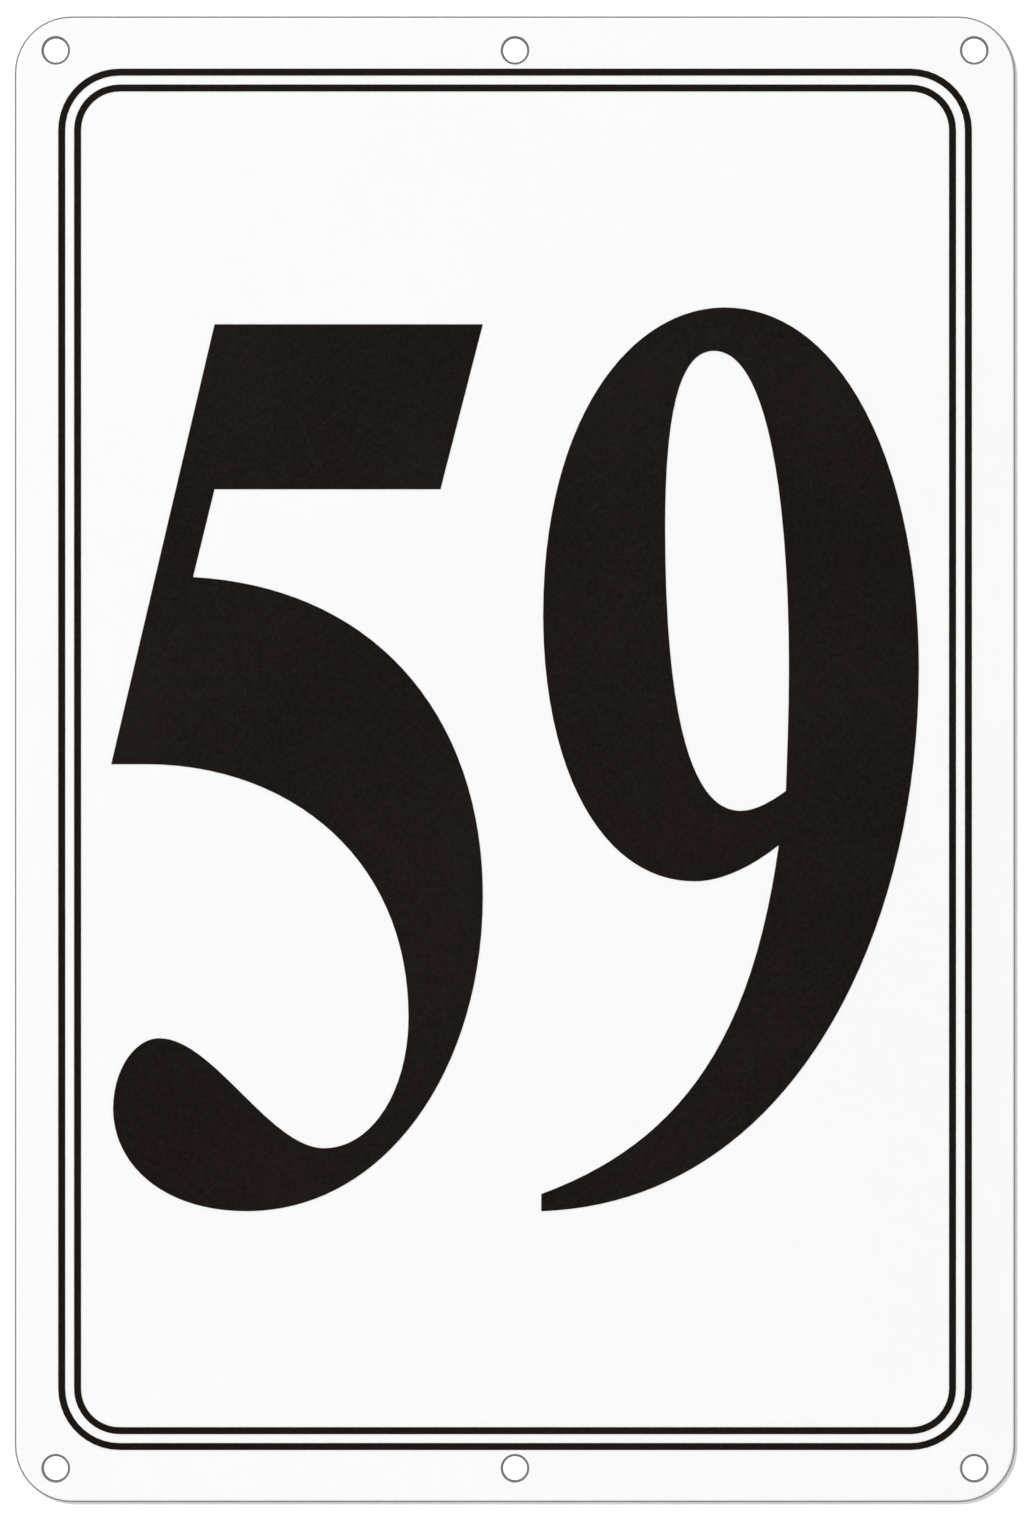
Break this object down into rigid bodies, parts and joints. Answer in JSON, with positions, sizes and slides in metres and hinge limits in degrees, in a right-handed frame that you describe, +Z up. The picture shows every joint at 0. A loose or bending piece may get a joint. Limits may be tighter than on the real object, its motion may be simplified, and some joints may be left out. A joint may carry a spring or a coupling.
{
  "type": "number sign",
  "caption": "Flat upright number sign: white coated metal plate with rounded corners, screw holes along its top and bottom edges, a double border and large black serif figures.",
  "frame": {"origin": "centre of the plate's flat back face, which lies against the wall or post", "axes": "+Z is up as the sign is read, +X is to the reader's right, and +Y points out of the back face, so the front faces -Y"},
  "size_m": [0.202, 0.0016, 0.3],
  "materials": {
    "white_coat": "satin",
    "black_film": "satin"
  },
  "bodies": {
    "root": {"sign_plate": "white_coat", "outer_border": "black_film", "inner_border": "black_film", "figure_five": "black_film", "figure_nine": "black_film"}
  },
  "joints": []
}
